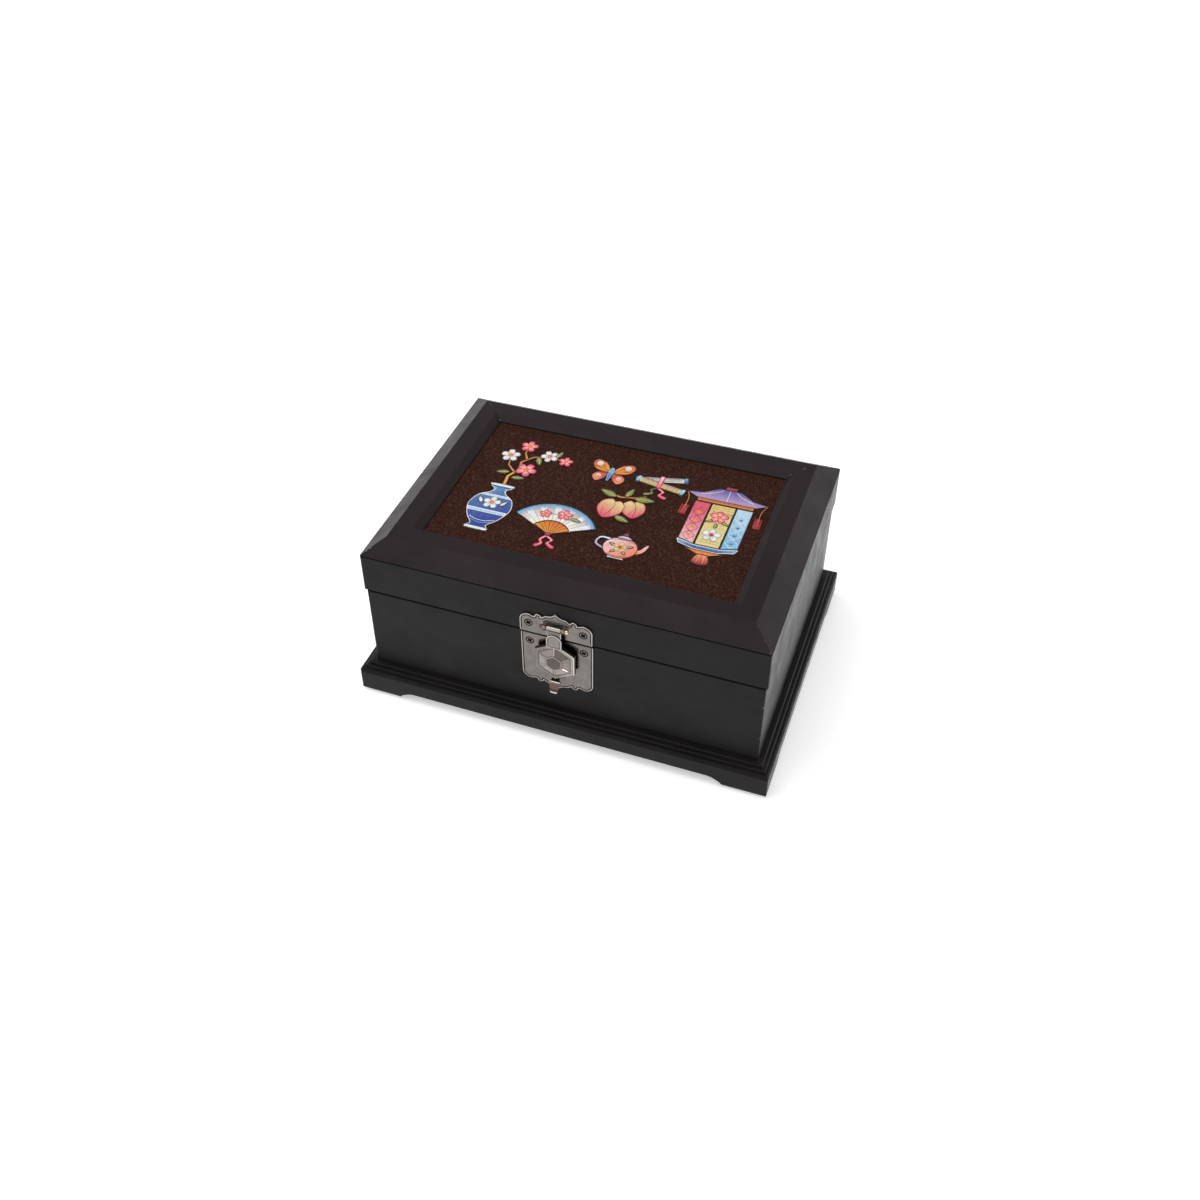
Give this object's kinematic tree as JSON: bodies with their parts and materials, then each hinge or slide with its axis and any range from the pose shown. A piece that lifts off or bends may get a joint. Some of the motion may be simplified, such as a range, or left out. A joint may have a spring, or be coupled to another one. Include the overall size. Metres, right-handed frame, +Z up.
{
  "type": "jewellery box",
  "caption": "Dark painted jewellery box on a moulded plinth with bracket feet, a hinged lid with a bevelled frame round an embroidered panel, a lift-out tray and a six-sided hasp.",
  "frame": {"origin": "on the table, under the middle of the plinth", "axes": "+X along the long side, -Y the front with the hasp, +Z up"},
  "size_m": [0.259, 0.189, 0.115],
  "materials": {
    "dark_paint": "near-black brown satin lacquer",
    "frame_paint": "near-black brown satin lacquer with a red cast",
    "plain_wood": "bare board",
    "felt": "felt",
    "velvet": "wine-red velvet",
    "ribbon": "gold satin ribbon",
    "brown_cloth": "dark brown plain weave",
    "mirror": "silvered glass",
    "brass": "polished",
    "black_nickel": "polished black nickel",
    "steel": "plain steel",
    "thread_light": "silk thread in satin stitch",
    "thread_pink": "silk thread in satin stitch",
    "thread_blue": "silk thread in satin stitch",
    "thread_gold": "silk thread in satin stitch",
    "thread_sky": "silk thread in satin stitch",
    "thread_salmon": "silk thread in satin stitch"
  },
  "bodies": {
    "case": {"plinth_front": "dark_paint", "plinth_right": "dark_paint", "plinth_back": "dark_paint", "plinth_left": "dark_paint", "foot_pads": "felt", "front_board": "dark_paint", "right_board": "dark_paint", "back_board": "dark_paint", "left_board": "dark_paint", "base_panel": "plain_wood", "wall_lining": "velvet", "floor_pad": "velvet", "tray_strips": "dark_paint", "tray_front": "velvet", "tray_right": "velvet", "tray_back": "velvet", "tray_left": "velvet", "tray_bottom": "velvet", "tray_long_divider": "velvet", "tray_small_dividers": "velvet", "bay_pads": "velvet", "ring_rolls": "velvet", "tray_pull_tabs": "ribbon", "case_hinge_leaf_left": "brass", "case_hinge_leaf_right": "brass", "hinge_pins": "brass", "case_hinge_screws": "brass", "catch_plate": "black_nickel", "catch_plate_screws": "black_nickel", "catch_strike": "steel"},
    "lid": {"lid_front_board": "dark_paint", "lid_right_board": "dark_paint", "lid_back_board": "dark_paint", "lid_left_board": "dark_paint", "frame_front": "frame_paint", "frame_right": "frame_paint", "frame_back": "frame_paint", "frame_left": "frame_paint", "embroidered_cloth": "brown_cloth", "stitched_vase": "thread_blue", "stitched_blossoms": "thread_pink", "stitched_fan": "thread_light", "stitched_butterfly": "thread_gold", "stitched_peaches": "thread_pink", "stitched_teapot": "thread_salmon", "stitched_lantern": "thread_sky", "stitched_scrolls": "thread_light", "backing_board": "plain_wood", "lid_liner": "velvet", "lid_side_lining": "velvet", "mirror_glass": "mirror", "mirror_frame": "dark_paint", "lid_hinge_leaf_left": "brass", "lid_hinge_leaf_right": "brass", "lid_hinge_screws": "brass", "hasp_plate": "black_nickel", "hasp_plate_screws": "black_nickel", "hasp_pin": "black_nickel"},
    "hasp": {"hasp": "black_nickel", "hasp_magnet": "steel"}
  },
  "joints": [
    {"name": "lid_hinge", "type": "hinge", "parent": "case", "child": "lid", "pos_m": [0, 0.0892, 0.0802], "axis": [-1, 0, 0], "range_deg": [0, 95]},
    {"name": "hasp_hinge", "type": "hinge", "parent": "lid", "child": "hasp", "pos_m": [0, -0.0904, 0.0896], "axis": [-1, 0, 0], "range_deg": [0, 150]}
  ]
}
